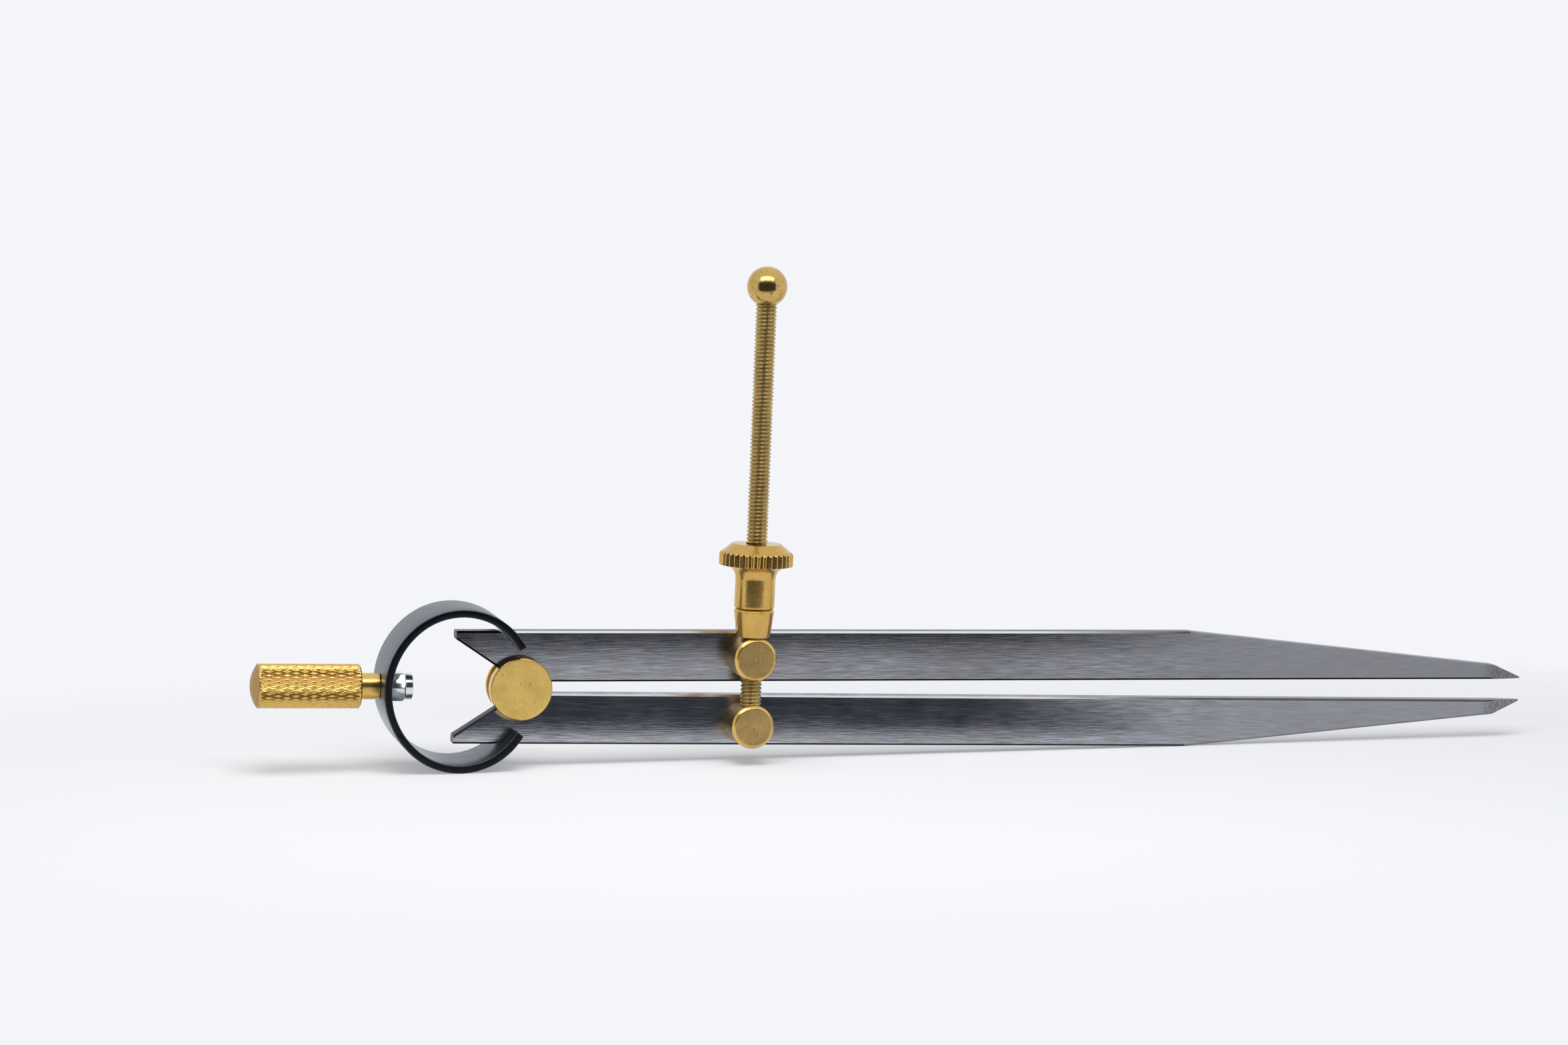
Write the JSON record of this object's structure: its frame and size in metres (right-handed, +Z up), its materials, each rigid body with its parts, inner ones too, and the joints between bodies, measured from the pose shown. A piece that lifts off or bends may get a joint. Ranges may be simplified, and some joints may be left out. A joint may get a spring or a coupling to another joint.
{
  "type": "spring divider",
  "caption": "Spring divider: flat pointed steel legs on a brass roller, spread by a black steel bow and set by a brass nut on a cross screw, with a knurled brass grip.",
  "frame": {"origin": "centre of the bounding box at its base, where it stands on the underside of the bow and on the knee of the lower leg", "axes": "+X from the grip to the points, +Y from the front (the side with the screw) to the back, +Z up along the cross screw"},
  "size_m": [0.2486, 0.0194, 0.0916],
  "materials": {
    "black_steel": "black oxide, satin",
    "brass": "turned and polished",
    "dull_brass": "turned, a little tarnished",
    "leg_steel": "ground lengthwise",
    "zinc_steel": "bright zinc",
    "nylon": "moulded"
  },
  "bodies": {
    "bow": {"bow_spring": "black_steel", "handle": "brass", "lock_nut": "zinc_steel", "lock_nut_insert": "nylon", "fulcrum_roller": "brass"},
    "upper_leg": {"upper_leg": "leg_steel"},
    "lower_leg": {"lower_leg": "leg_steel"},
    "upper_post": {"upper_post": "dull_brass", "upper_post_washer": "leg_steel", "thrust_collar": "brass"},
    "lower_post": {"lower_post": "dull_brass", "lower_post_washer": "leg_steel", "adjusting_screw": "dull_brass", "screw_ball": "brass"},
    "adjusting_nut": {"adjusting_nut": "brass"}
  },
  "joints": [
    {"name": "upper_leg_turn", "type": "hinge", "parent": "bow", "child": "upper_leg", "pos_m": [-0.07564, 0.00275, 0.01459], "axis": [0, -1, 0], "range_deg": [-0.6, 30.01]},
    {"name": "lower_leg_turn", "type": "hinge", "parent": "bow", "child": "lower_leg", "pos_m": [-0.07564, 0.00275, 0.01459], "axis": [0, 1, 0], "range_deg": [-0.6, 30.01]},
    {"name": "upper_post_turn", "type": "hinge", "parent": "upper_leg", "child": "upper_post", "pos_m": [-0.03301, 0.00275, 0.01966], "axis": [0, 1, 0], "range_deg": [-0.6, 30.01]},
    {"name": "lower_post_turn", "type": "hinge", "parent": "lower_leg", "child": "lower_post", "pos_m": [-0.03335, 0.00275, 0.00722], "axis": [0, -1, 0], "range_deg": [-0.6, 30.01]},
    {"name": "nut_turn", "type": "hinge", "parent": "upper_post", "child": "adjusting_nut", "pos_m": [-0.03276, -0.00295, 0.02893], "axis": [0.027, 0, 0.9996], "range_deg": [-414, 21000], "deforming": ["bow_spring"]}
  ],
  "couplings": [
    {"joint": "upper_leg_turn", "follows": "nut_turn", "ratio": 0.0014286},
    {"joint": "lower_leg_turn", "follows": "nut_turn", "ratio": 0.0014286},
    {"joint": "upper_post_turn", "follows": "nut_turn", "ratio": 0.0014286},
    {"joint": "lower_post_turn", "follows": "nut_turn", "ratio": 0.0014286}
  ]
}
